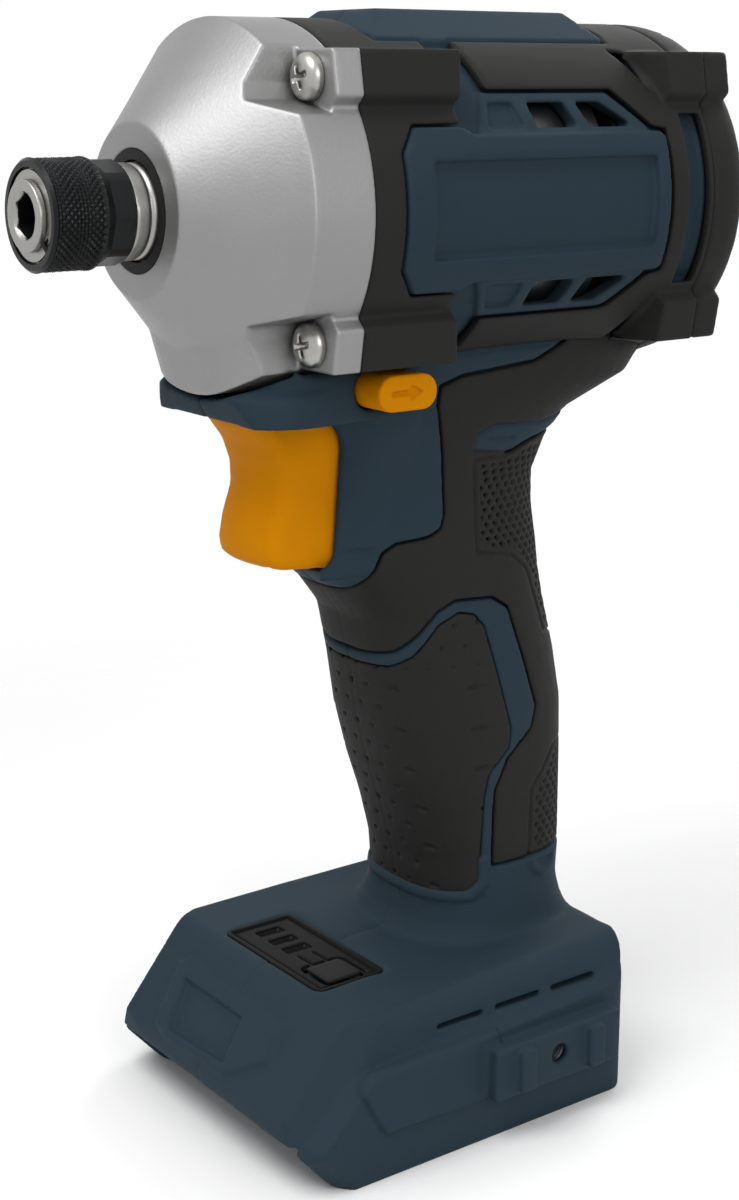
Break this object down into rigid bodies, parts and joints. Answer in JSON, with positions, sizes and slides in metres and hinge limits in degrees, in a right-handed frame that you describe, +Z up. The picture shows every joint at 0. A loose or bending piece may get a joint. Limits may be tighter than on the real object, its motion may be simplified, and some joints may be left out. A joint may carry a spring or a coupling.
{
  "type": "cordless impact driver",
  "caption": "Pistol-grip cordless impact driver with a hex bit chuck, hammer mechanism, planetary gear, motor, trigger, direction selector and a battery foot",
  "frame": {"origin": "middle of the foot's standing face, at the centre of the bounding box in X and Y", "axes": "+X forward along the drive axis to the bit, +Y to the tool's left, +Z up"},
  "size_m": [0.128, 0.0752, 0.1965],
  "materials": {
    "shell": "fine grained slate blue glass filled nylon",
    "rubber": "moulded soft grip rubber, matt",
    "dark_plastic": "fine grained black nylon",
    "signal": "satin orange moulding",
    "casting": "bead blasted die casting",
    "steel": "turned and ground",
    "dark_steel": "phosphated and oiled",
    "black_steel": "black oxide, knurled",
    "brass": "turned or stamped",
    "bronze": "sintered bush",
    "copper": "enamelled winding wire",
    "lamination": "stacked electrical sheet",
    "board": "solder masked board",
    "lead": "silicone insulation"
  },
  "bodies": {
    "tool_body": {"housing_left": "shell", "housing_right": "shell", "front_bumper_left": "rubber", "front_bumper_right": "rubber", "rear_bumper_left": "rubber", "rear_bumper_right": "rubber", "grip_skin_left": "rubber", "grip_skin_right": "rubber", "grip_pad_left": "rubber", "grip_pad_right": "rubber", "rear_cover": "dark_plastic", "cover_screws": "steel", "housing_screws": "steel", "hammer_case": "casting", "case_screws": "steel", "nose_seal": "rubber", "anvil_bush": "bronze", "ring_gear": "dark_steel", "gear_plate": "casting", "carrier_bearing": "steel", "front_bearing": "steel", "rear_bearing": "steel", "stator_core": "lamination", "stator_coils": "copper", "sensor_board": "board", "trigger_spring": "steel", "switch_body": "dark_plastic", "display_panel": "dark_plastic", "control_unit": "dark_plastic", "terminal_block": "dark_plastic", "terminal_blades": "brass", "hook_inserts": "brass", "motor_leads": "lead"},
    "anvil": {"anvil": "steel", "spring_washer": "steel", "snap_ring": "steel", "detent_balls": "steel", "sleeve_spring": "steel"},
    "chuck_sleeve": {"chuck_sleeve": "black_steel"},
    "drive": {"cam_shaft": "dark_steel", "planet_pins": "steel", "cam_balls": "steel", "hammer_spring": "dark_steel"},
    "hammer": {"hammer": "dark_steel"},
    "planet_1": {"planet_gear_1": "dark_steel"},
    "planet_2": {"planet_gear_2": "dark_steel"},
    "planet_3": {"planet_gear_3": "dark_steel"},
    "rotor": {"rotor_shaft": "steel", "rotor_core": "lamination", "fan": "dark_plastic"},
    "trigger": {"trigger": "signal", "trigger_plunger": "dark_plastic"},
    "selector": {"selector": "signal"},
    "mode_button": {"mode_button": "dark_plastic"}
  },
  "joints": [
    {"name": "drive_spin", "type": "hinge", "parent": "tool_body", "child": "drive", "pos_m": [0, 0, 0.165], "axis": [1, 0, 0], "continuous": true},
    {"name": "anvil_spin", "type": "hinge", "parent": "tool_body", "child": "anvil", "pos_m": [0, 0, 0.165], "axis": [1, 0, 0], "continuous": true},
    {"name": "rotor_spin", "type": "hinge", "parent": "tool_body", "child": "rotor", "pos_m": [0, 0, 0.165], "axis": [1, 0, 0], "continuous": true},
    {"name": "planet_1_spin", "type": "hinge", "parent": "drive", "child": "planet_1", "pos_m": [0.0035, 0, 0.1758], "axis": [1, 0, 0], "continuous": true},
    {"name": "planet_2_spin", "type": "hinge", "parent": "drive", "child": "planet_2", "pos_m": [0.0035, -0.00935, 0.1596], "axis": [1, 0, 0], "continuous": true},
    {"name": "planet_3_spin", "type": "hinge", "parent": "drive", "child": "planet_3", "pos_m": [0.0035, 0.00935, 0.1596], "axis": [1, 0, 0], "continuous": true},
    {"name": "hammer_slide", "type": "slide", "parent": "drive", "child": "hammer", "axis": [-1, 0, 0], "range_m": [0, 0.007], "stiffness_N_per_m": 3000, "springref_m": -0.004, "deforming": ["hammer_spring"]},
    {"name": "sleeve_slide", "type": "slide", "parent": "anvil", "child": "chuck_sleeve", "axis": [1, 0, 0], "range_m": [0, 0.004], "stiffness_N_per_m": 500, "springref_m": -0.003, "deforming": ["sleeve_spring"]},
    {"name": "trigger_pull", "type": "slide", "parent": "tool_body", "child": "trigger", "axis": [-1, 0, 0], "range_m": [0, 0.0065], "stiffness_N_per_m": 700, "springref_m": -0.004, "deforming": ["trigger_spring"]},
    {"name": "selector_slide", "type": "slide", "parent": "tool_body", "child": "selector", "axis": [0, 1, 0], "range_m": [-0.0035, 0.0035]},
    {"name": "mode_press", "type": "slide", "parent": "tool_body", "child": "mode_button", "axis": [0, 0, -1], "range_m": [0, 0.0006], "stiffness_N_per_m": 500, "springref_m": -0.001}
  ],
  "couplings": [
    {"joint": "anvil_spin", "follows": "drive_spin", "ratio": 1},
    {"joint": "rotor_spin", "follows": "drive_spin", "ratio": 6},
    {"joint": "planet_1_spin", "follows": "drive_spin", "ratio": -2.5},
    {"joint": "planet_2_spin", "follows": "drive_spin", "ratio": -2.5},
    {"joint": "planet_3_spin", "follows": "drive_spin", "ratio": -2.5}
  ]
}
